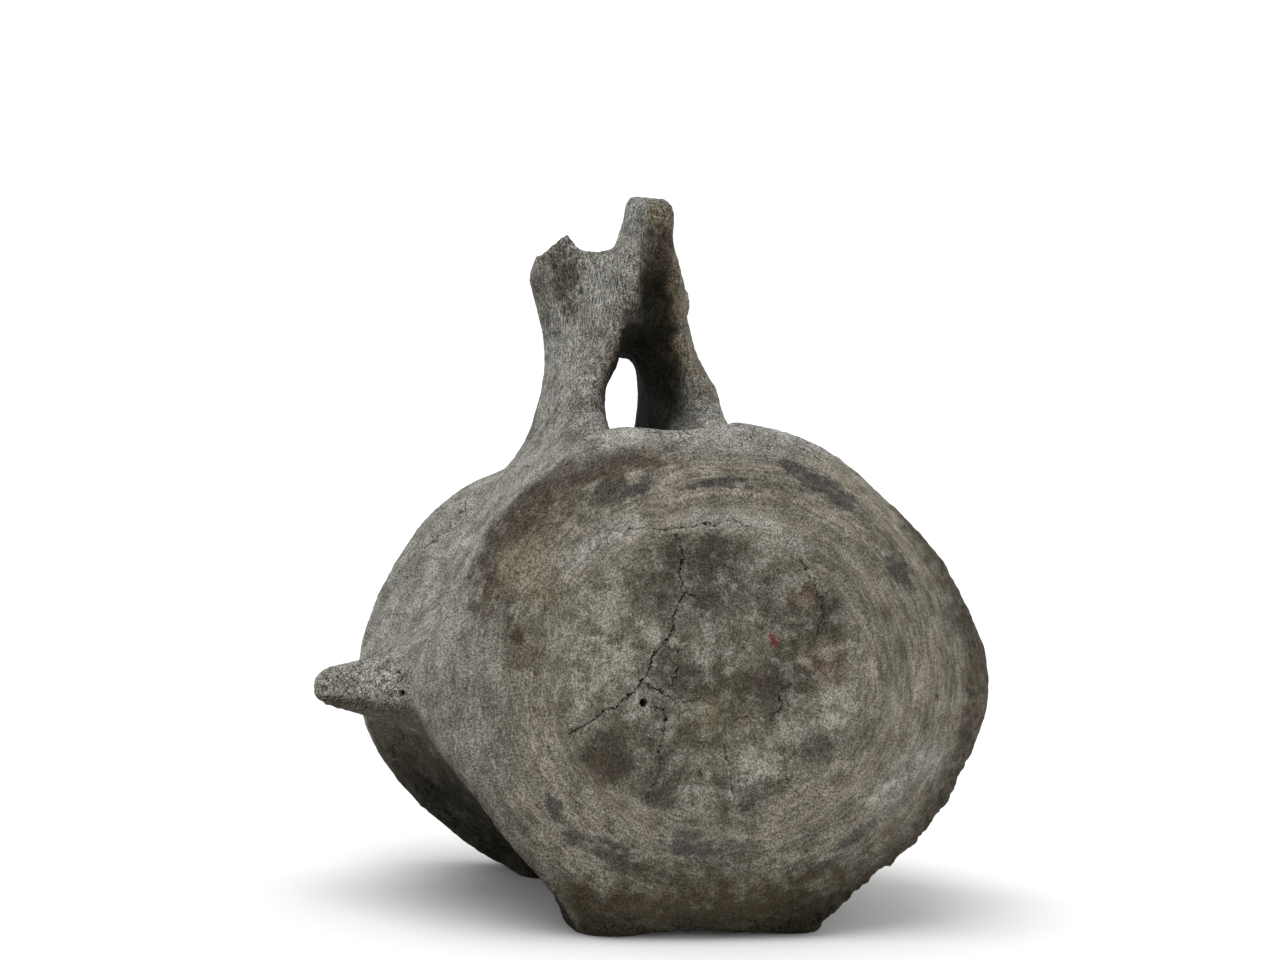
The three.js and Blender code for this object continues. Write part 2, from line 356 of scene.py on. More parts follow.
def crackDistance(own):
    # The smallest distance to any crack, as a share of that crack's half width.
    stray = np.zeros((len(own), 2))
    for share, size, (first, second) in wounds["bends"]:
        bend = [smoothNoise(own / size + first), smoothNoise(own / size + second)]
        stray += share * np.stack(bend, axis=1)
    flat = own[:, [0, 2]] + wounds["stray"] * stray
    change = smoothNoise(own / wounds["thickSize"] + wounds["thickShift"])
    thick = np.clip(wounds["thick"] + wounds["thickChange"] * change, *wounds["thickLimits"])
    nearest = np.full(len(own), farAway)
    for width, path in wounds["cracks"]:
        distance, along = toPath(flat, path)
        middle = np.sqrt(np.sin(np.pi * np.clip(along, *wounds["endLimits"])))
        taper = wounds["thinEnds"] + (1 - wounds["thinEnds"]) * middle
        nearest = np.minimum(nearest, distance / (width * taper * thick))
    return nearest


def refineWounds(piece):
    # Cuts the surface finer where a crack or hole needs it.
    mesh = piece.data
    centres = toBone(readVectors(mesh.polygons, "center"))
    normals = readVectors(mesh.polygons, "normal") @ boneTurn
    onFace = (centres[:, 1] < wounds["fineDepth"]) & (normals[:, 1] < wounds["fineTurn"])
    face = np.flatnonzero(onFace)
    flat = centres[face][:, [0, 2]]
    reach = np.linalg.norm(flat - wounds["hole"], axis=1) - wounds["holeRadius"]
    for _, path in wounds["cracks"]:
        reach = np.minimum(reach, toPath(flat, path)[0])
    chosen = np.zeros(len(centres), bool)
    chosen[face[reach < wounds["fineReach"]]] = True
    for place, radius in wounds["processHoles"]:
        chosen |= np.linalg.norm(centres - place, axis=1) < radius + wounds["fineReach"]
    work = bmesh.new()
    work.from_mesh(mesh)
    work.faces.ensure_lookup_table()
    edges = set()
    for number in np.flatnonzero(chosen):
        edges.update(work.faces[number].edges)
    bmesh.ops.subdivide_edges(work, edges=list(edges), cuts=wounds["fineCuts"], use_grid_fill=True)
    work.to_mesh(mesh)
    work.free()
    mesh.update()
    print("finer round the cracks:", len(mesh.vertices), "points")


# Fields: values at every point, by name, that the zones further down are told by.

noises = {
    # Where it is read, the size of its bumps, its layers, and a shift that makes it differ.
    "waver": ("bone", 16, 2, 4.0),
    "patchy": ("bone", 9, 3, 1.3),
    "spotty": ("bone", 4.2, 3, 8.8),
    "broad": ("bone", 26, 2, 5.5),
    "streaky": ("rings", (16, 16, 5.0), 3, 2.2),
    "ragged": ("rings", (9, 9, 2.4), 3, 6.2),
    "swell": ("bone", 40, 2, 0.0),
    "middling": ("bone", 9, 2, 2.0),
    "fine": ("bone", 2.7, 1, 6.0),
    "flakes": ("bone", 17, 4, 9.0),
    "discGrain": ("bone", 2.6, 2, 5.0),
    "discSwell": ("bone", 22, 2, 1.0),
    "strokes": ("rings", (13, 13, 2.9), 2, 3.0),
    "waves": ("rings", (40, 40, 8.5), 2, 7.0),
    "ringGrain": ("bone", 2.6, 1, 8.0),
    "knobs": ("bone", 6, 2, 4.0),
    "rimBreaks": ("bone", 7, 4, 2.5),
    "archFine": ("flow", 2.6, 1, 4.5),
    "archBroad": ("flow", 6.5, 1, 6.5),
    "spongeSwell": ("bone", 4.5, 2, 7.7),
    "processSwell": ("bone", 3.4, 2, 3.3),
}

dots = {
    # How the bone is stretched, the spacing of the dots, and a shift.
    "pits": ((1, 1, 1), 3.4, 0.4),
    "dents": ((1.0, 0.6, 1.0), 5.2, 0.9),
    "lonePits": ((1, 1, 1), 7.5, 0.7),
    "chips": ((1, 1, 1), 8.5, 0.3),
}

limits = {
    # A field and the two values that it lies between, with hard edges.
    "processRoot": ("z", -60, 60),
    "processTip": ("z", -40, 40),
    "facingLeft": ("turnX", -2, 0.2),
    "byHindRim": ("y", -farAway, 30),
    "hindHalf": ("y", -farAway, 110),
    "behindRim": ("y", 8, farAway),
    "betweenRims": ("y", 8, 172),
}

ovals = {
    # The middle and the half sizes; the field is 1 on the oval's edge.
    "spinePit": ((-5, 78, 193), (10, 24, 21)),
    "leftTip": ((-46, 126, 221), (13, 22, 24)),
}

bands = {
    # A field, the value in the band's middle and the band's width.
    "rimLine": ("share", 1.0, 0.05),
    "rimEdge": ("share", 1.0, 0.06),
    "rimInner": ("share", 0.99, 0.05),
    "archAcross": ("side", -22, 12),
    "archAlong": ("y", 88, 20),
}

discMiddle = (-11, 1)
discHalfSize = (80, 67)
discWaver = 0.05
processMiddle = 78
processTaper = 0.12  # off its middle, a process starts farther out
spineOffset = 1.0
unwornAngle = 10  # degrees round the rim, where it is least worn
ringScale = (110, 110, 130)
flowStretch = (1.0, 1.0, 0.28)

# Spots are their middle and size. Two numbers are x and z on a joint face.
spots = {
    "wornSpot": [((-44, 118, 216), 17)],
    "brownSpots": [
        ((-106, 20), 8), ((-104, 8), 7), ((-60, 91), 10), ((-80, 84), 12), ((-96, 70), 12),
        ((-62, -40), 13), ((22, -6), 13), ((-98, 12), 5),
    ],
    "brownCores": [((-66, 98), 6), ((-90, 86), 8), ((-101, 72), 8), ((-113, 46), 6), ((-104, 20), 5)],
    "slateInDisc": [((-38, -66), 14), ((5, 40), 10), ((48, -34), 11), ((-30, 30), 9), ((10, -55), 12)],
    "pinkSpots": [((40, 38), 6), ((52, 5), 9)],
    "yellowSpots": [((-8, -19), 9), ((8, -21), 6)],
    "goldenSpot": [((92, -68), 18)],
    "spineRed": [((-13, 72, 229), 6)],
    "tanSpots": [((-104, -17, 50), 11), ((-98, -17, 58), 8), ((-8, 66, 243), 9), ((-92, -18, 40), 7)],
}

# These spots add up where they overlap.
spotSums = {
    "dimSpots": [
        ((-6, 58), 24), ((24, 0), 15), ((-34, 50), 16), ((52, 28), 15), ((-14, -2), 10),
        ((-62, -42), 16),
    ],
    "brightSpots": [
        ((-16, 15), 11), ((-66, 26), 22), ((12, -44), 15), ((6, 28), 11), ((50, -22), 16),
        ((-40, 22), 10), ((-70, -4), 14),
    ],
    "frontSpots": [((-60, 70), 34), ((80, -30), 30)],
}

# Slate patches on the ring: the middle, the half length round the face and the half width.
slateSpots = [
    ((-57, -83), 17, 6), ((-22, -78), 18, 7), ((50, 92), 22, 7), ((88, 50), 15, 7), ((-76, -74), 9, 4),
    ((-63, 85), 11, 5), ((-48, 88), 12, 5), ((36, 100), 12, 4), ((-5, 92), 28, 3), ((-86, -60), 10, 4),
    ((63, -77), 14, 5), ((45, -92), 9, 4),
]

redDab = {"middle": (24, 17), "halfSize": (2.0, 3.6), "lean": 0.35}

paths = {
    "waver": 0.8,
    "groove": [(-40, 86), (-21, 91), (5, 93), (30, 89), (52, 80)],
    "grooveWidth": 1.7,
    "lipDistance": 4.5,
    "lipWidth": 3.0,
    "ridge": [(70, -64), (84, -56), (96, -47), (106, -36)],
    "ridgeWidth": 5.0,
    "brown": [(-36, 111), (-51, 107), (-63, 101), (-77, 95), (-89, 87), (-101, 74), (-107, 61),
              (-113, 47), (-115, 36)],
    "brownWidth": 13,
    "brownStray": 4,
    "brownEnds": (1.2, 0.9),  # how strong it starts and ends
    # Lines of painted highlight along the crest over the disc and along the ridge: the line and its
    # width.
    "pale": [
        ([(-20, 74), (6, 74), (22, 70), (36, 62)], 5.0),
        ([(76, -60), (90, -50), (104, -40)], 8.0),
        ([(-80, 52), (-66, 64), (-48, 72)], 6.0),
    ],
}


def ringPlaces(own):
    # Coordinates that stretch along circles round the face's middle, for strokes worn round it.
    angle = np.arctan2(own[:, 2], own[:, 0])
    reach = np.hypot(own[:, 0] / boneFrame["rimHalfWidth"], own[:, 2] / boneFrame["rimHalfHeight"])
    return np.stack([np.cos(angle), np.sin(angle), reach], axis=1) * ringScale


def flowPlaces(own):
    # Coordinates that stretch along the grain of the arch and the sides.
    return own * flowStretch


def spotBells(own, marks):
    for place, size in marks:
        places = own[:, [0, 2]] if len(place) == 2 else own
        yield bell(np.linalg.norm(places - place, axis=1), size)


def slateOnRing(x, z):
    blots = np.zeros(len(x))
    for (placeX, placeZ), wide, tall in slateSpots:
        outward = np.hypot(placeX, placeZ)
        acrossRing = (x * placeX + z * placeZ) / outward - outward
        alongRing = (x * placeZ - z * placeX) / outward
        bowed = acrossRing + alongRing**2 / (2 * outward)  # the patch bends round the face
        blots = np.maximum(blots, bell(np.hypot(alongRing / wide, bowed / tall), 1.0))
    return blots


def measure(own, normals, up):
    x, y, z = own.T
    side = x - midline
    share = np.hypot(x / boneFrame["rimHalfWidth"], z / boneFrame["rimHalfHeight"])
    at = {
        "none": 0.0, "bone": own, "rings": ringPlaces(own), "flow": flowPlaces(own),
        "x": x, "y": y, "z": z, "side": side, "share": share, "up": up,
        "turnX": normals[:, 0], "turnY": normals[:, 1], "turnZ": normals[:, 2],
        "turnAlong": np.abs(normals[:, 1]),
        "turnIn": -normals[:, 0] * np.sign(side),
        "fromMiddle": np.abs(x),
        "fromMidline": np.abs(side),
        "fromSpine": np.abs(side - spineOffset),
        "outward": np.abs(x) - processTaper * np.abs(y - processMiddle),
        "fromUnworn": np.abs(np.degrees(np.arctan2(z, x)) - unwornAngle),
        "slateSpots": slateOnRing(x, z),
    }
    for name, (places, size, layers, shift) in noises.items():
        at[name] = layered(at[places], np.array(size), layers, shift)
    for name, (stretch, spacing, shift) in dots.items():
        at[name] = scatter(own * stretch, spacing, shift)
    for name, (field, low, high) in limits.items():
        at[name] = (at[field] > low) & (at[field] < high)
    for name, (field, middle, width) in bands.items():
        at[name] = bell(at[field] - middle, width)
    for name, (middle, halfSize) in ovals.items():
        at[name] = np.linalg.norm((own - middle) / halfSize, axis=1)
    for name, marks in spots.items():
        at[name] = np.maximum.reduce(list(spotBells(own, marks)))
    for name, marks in spotSums.items():
        at[name] = sum(spotBells(own, marks))

    flat = own[:, [0, 2]]
    fromDisc = np.linalg.norm((flat - discMiddle) / discHalfSize, axis=1)
    at["discShare"] = fromDisc + discWaver * at["waver"]
    bent = flat + paths["waver"] * at["waver"][:, None]
    fromGroove = toPath(bent, paths["groove"])[0]
    at["groove"] = bell(fromGroove, paths["grooveWidth"])
    at["grooveLips"] = bell(fromGroove - paths["lipDistance"], paths["lipWidth"])
    at["ridge"] = bell(toPath(bent, paths["ridge"])[0], paths["ridgeWidth"])
    fromBrown, along = toPath(flat + paths["brownStray"] * at["patchy"][:, None], paths["brown"])
    first, last = paths["brownEnds"]
    at["brownPath"] = bell(fromBrown, paths["brownWidth"]) * (first + (last - first) * along)
    # The lines of painted highlight.
    pale = [bell(toPath(flat, line)[0], width) for line, width in paths["pale"]]
    at["palePaths"] = np.maximum.reduce(pale)
    (dabX, dabZ), (wide, tall), lean = redDab["middle"], redDab["halfSize"], redDab["lean"]
    leaning = x - dabX + lean * (z - dabZ)
    at["redDab"] = bell(np.hypot(leaning / wide, (z - dabZ) / tall), 1.0)
    return at


# Zones: a strength, and a list whose parts are multiplied. A part is the name of a field or of an
# earlier zone, "not" and such a name, or an edge. An edge is a field, its value where the zone
# starts and where it is full, how much the noises bend it, and the share at its start and end.

zones = {
    "hind": [(1, [("turnY", -0.12, -0.5), ("y", 16, 4), ("z", 118, 100)])],
    "front": [(1, [("turnY", 0.12, 0.5), ("y", 166, 182), ("z", 118, 100)])],
    "face": [(1, ["hind"]), (1, ["front"])],
    "disc": [(1, ["face", ("discShare", 1.03, 0.94)])],
    "ring": [(1, ["face", "not disc"])],
    "mostRing": [(0.7, ["ring"])],
    "mostHind": [(0.75, ["hind"])],
    # Surfaces that face down; they get painted shade.
    "under": [(1, ["not mostHind", ("up", -0.05, -0.75)])],
    "arch": [(1, [("z", 108, 128), ("y", 10, 40)])],
    "canal": [
        (1, [("fromMidline", 30, 18), ("z", 110, 120), ("z", 196, 186), ("y", 30, 60),
             ("y", 196, 176)]),
    ],
    "process": [(1, ["processRoot", ("outward", 134, 150)])],
    "worn": [
        (1, [("z", 228, 238, {"waver": 2.5}), ("fromMidline", 20, 27)]),
        (1, [("z", 243, 251, {"waver": 2}), ("y", 112, 90)]),
        (1, ["processTip", ("fromMiddle", 172, 181, {"waver": 3})]),
        (1, [("z", -108, -118, {"waver": -4})]),
        (0.8, ["wornSpot", "facingLeft"]),
        (0.6, ["rimLine", ("waver", 0.1, 0.6), ("fromUnworn", 60, 80)]),
    ],
}


def within(at, zone):
    share = np.ones(len(at["x"]))
    for part in zone:
        if isinstance(part, str):
            share *= 1 - at[part[4:]] if part.startswith("not ") else at[part]
            continue
        name, start, full, *more = part
        bends = dict(*more)
        least, most = bends.pop("least", 0.0), bends.pop("most", 1.0)
        values = at[name] + sum(reach * at[noise] for noise, reach in bends.items())
        share *= least + (most - least) * rise(values, start, full)
    return share


def strongest(at, layers):
    return np.maximum.reduce([strength * within(at, zone) for strength, zone in layers])


def together(at, layers):
    return sum(strength * within(at, zone) for strength, zone in layers)


# Relief: how high each kind of surface stands, in millimetres.

relief = {
    "everywhere": [(0.7, ["swell"]), (0.32, ["middling"]), (0.2, ["fine", "not face"])],
    "disc": [
        (-1.5, ["disc"]),
        (0.45, ["disc", ("flakes", -0.25, 0.3, {"least": -0.5, "most": 0.5})]),
        (0.4, ["disc", "discGrain"]),
        (0.3, ["disc", "discSwell"]),
    ],
    "ring": [
        (0.26, ["ring", "strokes"]),
        (0.55, ["ring", "waves"]),
        (0.14, ["ring", "ringGrain"]),
        (-1.0, ["ring", "hind", "groove"]),
        (0.5, ["ring", "hind", "grooveLips"]),
        (1.54, ["ring", "hind", "ridge"]),
        (1.32, ["ring", "hind", "ridge", "knobs"]),
    ],
    "rim": [
        (1.5, ["rough", "rimBreaks"]),
        (-0.15, ["rough"]),
        (-1.7, ["rough", ("chips", 0.34, 0.1)]),
    ],
    "arch": [(0.34, ["arch", "archFine"]), (0.3, ["arch", "archBroad"])],
    "sponge": [(-1.1, ["worn", ("pits", 0.5, 0.12)]), (0.5, ["worn", "spongeSwell"])],
    "process": [(-0.75, ["process", ("dents", 0.45, 0.12)]), (0.35, ["process", "processSwell"])],
    "lonePits": [(-0.7, [("waver", 0.0, 0.5), "not disc", "not mostRing", ("lonePits", 0.2, 0.08)])],
}

roughRim = ["rimEdge", ("turnAlong", 0.02, 0.3), ("z", -10, -70, {"least": 0.4})]

# Places that are lifted along z or pushed along x: the middle, the size and how far.
lifted = [
    ((-42, 130, 243), 6, 2.7), ((-49, 146, 241), 7, -1.5), ((-4, 64, 251), 6, -1.2),
    ((-163, 63, 8), 13, 3.2), ((-182, 78, -14), 9, 1.6),
]
pushed = [((-28, 95, 165), 8, 2.6), ((1, 131, 171), 9, -2.6)]
floorFade = (0.3, 4.0)  # millimetres above the floor where the relief starts and has full strength


def carve(own, normals, at, rowHeight):
    at["rough"] = within(at, roughRim)
    height = sum(together(at, layers) for layers in relief.values())
    move = normals * (height * rise(rowHeight, *floorFade))[:, None]
    for axis, places in ((2, lifted), (0, pushed)):
        for place, size, reach in places:
            move[:, axis] += reach * bell(np.linalg.norm(own - place, axis=1), size)

    onHind = at["hind"] > wounds["onFace"]
    distance = np.full(len(own), farAway)
    distance[onHind] = crackDistance(own[onHind])
    crack = rise(distance, *wounds["crackEdge"])
    move[:, 1] += wounds["crackDepth"] * crack + wounds["sagDepth"] * bell(distance, wounds["sagReach"])
    fromHole = np.linalg.norm(own[:, [0, 2]] - wounds["hole"], axis=1) / wounds["holeRadius"]
    hole = rise(fromHole, *wounds["holeEdge"]) * onHind
    move[:, 1] += wounds["holeDepth"] * hole
    for place, radius in wounds["processHoles"]:
        near = np.linalg.norm(own - place, axis=1) / radius
        deep = rise(near, *wounds["processHoleEdge"])
        move -= normals * (wounds["processHoleDepth"] * deep)[:, None]
        hole = np.maximum(hole, deep)
    return own + move, crack, hole


# Stains and painted light: where the colours lie, as zones that are worked out in this order. The dirt
# and dark zones hold painted shade, and the pale zone painted highlights.

spineTop = (242, 232)
footEdge = ("z", -82, -108, {"patchy": -9, "spotty": -4})
tanBreaks = ("spotty", -0.4, 0.4, {"least": 0.65, "most": 1.15})
rustBreaks = ("patchy", -0.6, 0.4)

stainsAndPaintedLight = {
    "lowMargin": [
        (1, ["hind", ("share", 0.86, 0.98, {"patchy": 0.05}), ("x", 40, 90), ("z", 100, 70)]),
    ],
    "spineEdge": [(1, [("turnY", -0.2, -0.6), ("fromSpine", 11, 6, {"patchy": 3}), ("z", 196, 206)])],
    "lowInner": [(0.75, ["arch", ("side", 4, 10), ("z", 150, 118), ("z", 108, 116), ("y", 104, 84)])],
    "tipMoss": [(1, [("leftTip", 1.0, 0.5, {"patchy": -0.4, "spotty": -0.35})])],
    "leftMargin": [(0.75, ["hind", ("x", -98, -126, {"patchy": -8}), ("z", -70, -40)])],
    "topLeft": [
        (1, ["hind", ("share", 0.93, 1.02, {"patchy": 0.04}), ("x", -20, -50), ("z", -30, 0)]),
    ],
    "brown": [
        (0.9, ["hind", ("brownPath", 0.32, 0.9, {"patchy": 0.25, "spotty": 0.3, "ragged": 0.3})]),
        (1, ["hind", ("none", 0.35, 0.8, {"brownCores": 1.1, "spotty": 0.35})]),
        (0.7, ["hind", ("brownSpots", 0.25, 0.8, {"patchy": 0.3, "spotty": 0.2})]),
        (1, ["lowMargin", ("spotty", -0.3, 0.4, {"least": 0.7})]),
        (0.6, ["hind", ("z", -62, -92), ("none", 0.1, 0.5, {"patchy": 0.6, "ragged": 0.5})]),
        (1, ["front", "frontSpots", ("patchy", -0.1, 0.6, {"streaky": 0.5})]),
    ],
    "slate": [
        (1, ["ring", "hind", ("slateSpots", 0.36, 0.78, {"ragged": 0.45, "spotty": 0.3})]),
        (0.65, ["disc", "hind", ("slateInDisc", 0.4, 1.0, {"spotty": 0.6})]),
        (1, ["front", ("streaky", 0.5, 0.9, {"patchy": 0.4})]),
    ],
    "pale": [
        # Painted highlights along the crests, the pale crust on top of the hind rim, and paler worn
        # places above the middle.
        (1, ["hind", "palePaths", ("ragged", -0.2, 0.7, {"spotty": 0.5, "least": 0.3, "most": 1.2})]),
        (0.9, ["rimInner", "byHindRim", ("z", 88, 112), ("patchy", -0.7, 0.5)]),
        (0.55, ["worn", ("z", 0, 40)]),
    ],
    # Soil and painted shade: the surfaces that face down and the hollow under the left side between the
    # rims are painted darker as shade, and the foot of both faces is darker towards the bottom.
    "dirtAndShade": [
        (0.9, ["under", ("patchy", -0.8, 0.2, {"least": 0.7})]),
        (0.95, ["betweenRims", ("z", -4, -30), ("x", -50, -85),
                ("patchy", -0.8, 0.1, {"least": 0.72})]),
        (0.92, ["hind", footEdge]),
        (0.6, ["front", footEdge]),
    ],
    # Painted shade, near black: the canal's walls and roof, the pit under the spine, the spine's hind
    # edge darkening down into the pit, and the hollow behind the hind rim under the left side. The foot
    # of the hind face right of the middle is darker towards the bottom.
    "dark": [
        (1, ["canal", "not lowInner", ("y", 62, 84), ("turnIn", -0.1, 0.35, {"patchy": -0.25})]),
        (1, ["canal", "not lowInner", ("y", 62, 84), ("turnZ", -0.1, -0.5)]),
        (1, ["hindHalf", "not lowInner", ("spinePit", 1.25, 0.8, {"patchy": 0.2})]),
        (1, ["spineEdge", "not lowInner", ("z", 226, 204, {"least": 0.45, "most": 0.95}),
             ("z", *spineTop, {"patchy": 4})]),
        (0.96, ["behindRim", "not front", ("z", -26, -70), ("x", -24, -54),
                ("patchy", -0.8, 0.0, {"least": 0.8})]),
        (0.75, ["hind", ("z", -98, -112, {"spotty": -5}), ("x", 0, 50)]),
    ],
    "rust": [
        (0.9, ["spineEdge", ("z", 200, 212), ("z", *spineTop, {"patchy": 4, "least": 0.35})]),
        (0.5, [("z", 172, 186), ("z", 240, 228), ("side", 3, 8), ("y", 120, 96), rustBreaks]),
        (0.75, [("z", 142, 160), ("z", 190, 176), ("side", 8, 14), ("y", 110, 90), rustBreaks]),
        (0.55, [("z", 222, 234), ("side", -14, -22), ("y", 112, 146)]),
        (0.85, ["archAcross", "archAlong", ("z", 120, 146), ("z", 200, 180), ("patchy", -0.8, 0.3)]),
        (0.6, ["spineRed"]),
    ],
    "tan": [
        (0.9, ["arch", ("side", 5, 10), ("z", 150, 178), ("z", 246, 236), ("y", 128, 104), tanBreaks]),
        (0.8, ["spineEdge", ("z", 229, 237), tanBreaks]),
        (0.9, [("tanSpots", 0.2, 0.8, {"spotty": 0.3}), tanBreaks]),
    ],
    "moss": [
        (1, ["tipMoss"]),
        (0.7, ["hind", ("z", -84, -104, {"patchy": -9}), ("spotty", -0.2, 0.4)]),
    ],
    "specked": [
        (1, ["tipMoss"]),
        (0.8, ["not disc", ("z", -60, -100)]),
        (0.8, ["process"]),
        (0.7, ["lowMargin"]),
        (0.8, ["tan"]),
        (0.35, ["arch"]),
    ],
    "red": [
        (1, ["hind", ("none", 0.35, 0.9, {"redDab": 1.4, "patchy": 0.3})]),
        (0.22, ["hind", "pinkSpots"]),
    ],
    "yellow": [
        (0.6, ["hind", "yellowSpots"]),
        (0.6, ["ring", "goldenSpot", ("patchy", -0.2, 0.5)]),
    ],
    "netted": [(1, ["not face", "not arch", ("broad", -0.1, 0.35)])],
    "onArch": [(1, ["arch", "not face"])],
}

# How much lighter or darker a place is than its kind of surface. The disc's spots, the left margin and
# the left side are its own tone; the rest is painted light and shade: the disc lighter to the left and
# at the top, the ring lighter above and darker below and to the right, the process lighter with a
# darker underside, and a painted lit patch low on the hind part of the arch's right wall.
toneAndLightLayers = [
    (1.0, ["disc", "hind", "brightSpots"]),
    (-1.0, ["disc", "hind", "dimSpots"]),
    (0.1, ["disc", "hind", ("x", -20, -70)]),
    (0.6, ["disc", "hind", ("z", 25, 60)]),
    (0.5, ["ring", ("z", 20, 100)]),
    (-0.6, ["ring", ("z", -30, -100)]),
    (-0.1, ["ring", "hind", ("x", 60, 130)]),
    (0.9, ["process"]),
    (-1.3, ["process", ("turnZ", 0.2, -0.5)]),
    (-0.9, ["leftMargin"]),
    (-0.5, ["not hind", ("x", -90, -125)]),
    (1.5, ["arch", ("side", 20, 30), ("z", 150, 128), ("y", 130, 110)]),
]

# How strong the salt and pepper is.
grainLayers = [
    (0.9, []),
    (-0.3, [("x", 30, 110)]),
    (0.25, ["not face"]),
    (-0.15, [("z", -80, -110)]),
    (0.35, ["process"]),
]
grainLimits = (0.25, 1.5)
darkHidesGrain = 0.5
brownHidesRoll = 0.8
rollHidesFace = 0.6

maskNames = [
    "disc", "onArch", "brown", "slate", "pale", "dirtAndShade", "dark", "rust", "red", "yellow", "netted",
    "worn", "tan", "specked", "face", "moss", "toneAndLight", "grainy", "onFace", "crack", "hole", "flakes",
]


def paint(at):
    for name, layers in stainsAndPaintedLight.items():
        at[name] = np.clip(strongest(at, layers), 0, 1)
    at["toneAndLight"] = together(at, toneAndLightLayers)
    grainy = together(at, grainLayers) * (1 - darkHidesGrain * at["dark"])
    at["grainy"] = np.clip(grainy, *grainLimits)
    rolled = np.clip(at["leftMargin"] + at["topLeft"], 0, 1) * (1 - brownHidesRoll * at["brown"])
    at["onFace"] = at["face"] * (1 - rollHidesFace * rolled)
    at["flakes"] = at["flakes"] * at["disc"]


def writeMask(mesh, name, values, kind="FLOAT"):
    layer = mesh.attributes.new(name, kind, "POINT")
    field = "vector" if kind == "FLOAT_VECTOR" else "value"
    layer.data.foreach_set(field, values.astype(np.float32).ravel())


def sculpt(piece):
    mesh = piece.data
    row = readVectors(mesh.vertices, "co")
    own = toBone(row)
    rowNormals = readVectors(mesh.vertex_normals, "vector")
    normals = rowNormals @ boneTurn
    at = measure(own, normals, rowNormals[:, 2])
    for name, layers in zones.items():
        at[name] = np.clip(strongest(at, layers), 0, 1)
    moved, at["crack"], at["hole"] = carve(own, normals, at, row[:, 2] * perMetre)
    print("carved")
    paint(at)
    place = fromBone(moved)
    place[:, 2] = np.maximum(place[:, 2], 0.0)
    mesh.vertices.foreach_set("co", place.astype(np.float32).ravel())
    for name in maskNames:
        writeMask(mesh, name, at[name])
    for name, places in (("boneAt", "bone"), ("ringAt", "rings"), ("flowAt", "flow")):
        writeMask(mesh, name, at[places], "FLOAT_VECTOR")
    mesh.polygons.foreach_set("use_smooth", np.ones(len(mesh.polygons), bool))
    mesh.update()
    print("painted")


# The material.

boneLook = {
    "sideLight": (0.272, 0.266, 0.240),
    "sideDark": (0.135, 0.130, 0.112),
    "ringLight": (0.208, 0.191, 0.155),
    "ringDark": (0.115, 0.101, 0.077),
    "discLight": (0.215, 0.202, 0.170),
    "discMiddle": (0.122, 0.112, 0.088),
    "discDark": (0.066, 0.060, 0.043),
    "brown": (0.044, 0.034, 0.024),
    "slate": (0.054, 0.051, 0.046),
    # Pale crust and wear, and the painted highlights.
    "pale": (0.38, 0.37, 0.345),
    # Soil, and the painted shade under the bone.
    "dirtAndShade": (0.038, 0.0275, 0.0145),
    # Near black, for the painted shade in the canal, the pit and the hollows.
    "dark": (0.0085, 0.0076, 0.0035),
    "rust": (0.090, 0.062, 0.038),
    "tan": (0.172, 0.146, 0.100),
    "moss": (0.070, 0.069, 0.042),
    "speck": (0.034, 0.033, 0.020),
    "red": (0.140, 0.030, 0.026),
    "yellow": (0.170, 0.140, 0.075),
    "crack": (0.014, 0.011, 0.007),
    "specular": 0.1,
    "bump": 0.75,
    "bumpDepth": 0.0008,  # metres
}

# Stains, with the painted highlights of the pale one, in the order that they are laid on, and how
# strong they are.
stainAndHighlightStrength = {
    "yellow": 0.6, "brown": 0.95, "slate": 0.95, "pale": 0.6, "tan": 1.0, "moss": 0.85, "rust": 0.9,
    "red": 0.9,
}
speckStrength = 0.7

# How much the tone with its painted light and shade, and each kind of wear, lightens the colour or
# darkens it, and how high each kind of wear stands.
brightnessShift = {"toneAndLight": 0.2, "rounds": 1.0, "grain": 0.62, "flecks": -0.55, "litFlecks": 0.3, "net": -0.65,
             "pores": -0.7}
wearHeight = {"grain": 1.1, "strokes": 0.6, "flecks": -0.9, "net": -0.8, "pores": -1.2}

texture = {
    # Size in millimetres, detail and roughness.
    "cloudy": (24.0, 4.0, 0.6),
    "mottle": (13.0, 8.0, 0.66),
    "finer": (8.0, 8.0, 0.7),
    "scabs": (3.4, 5.0, 0.7),
    "blotch": (9.0, 7.0, 0.6),
    "grain": (0.95, 2.0, 0.9),
    "broken": (4.5, 6.0, 0.75),
}

stretched = {
    # Bumps to a millimetre along each coordinate, detail and roughness.
    "strokes": ((0.065, 0.065, 0.62), 4.0, 0.75),
    "bands": ((0.017, 0.017, 0.12), 4.0, 0.6),
    "flecks": ((0.85, 0.85, 0.85), 3.0, 0.75),
}

warp = {"scale": 0.16, "detail": 4.0, "reach": 9.0, "ringShare": 0.22}
netScale = 0.1  # cells to a millimetre
poreScale = 0.42
fleckBase = 0.06  # the share of flecks off the arch

# Each kind of surface mixes two noises, and the disc also the painted flakes and the tone, which holds
# painted light and shade.
mixes = {
    "ring": (("strokes", 0.5), ("blotch", 0.5)),
    "disc": (("mottle", 0.45), ("finer", 0.55)),
    "lichen": (("scabs", 0.3), ("disc", 0.7)),
    "flakes": 0.05,
    "toneAndLight": 0.06,
}

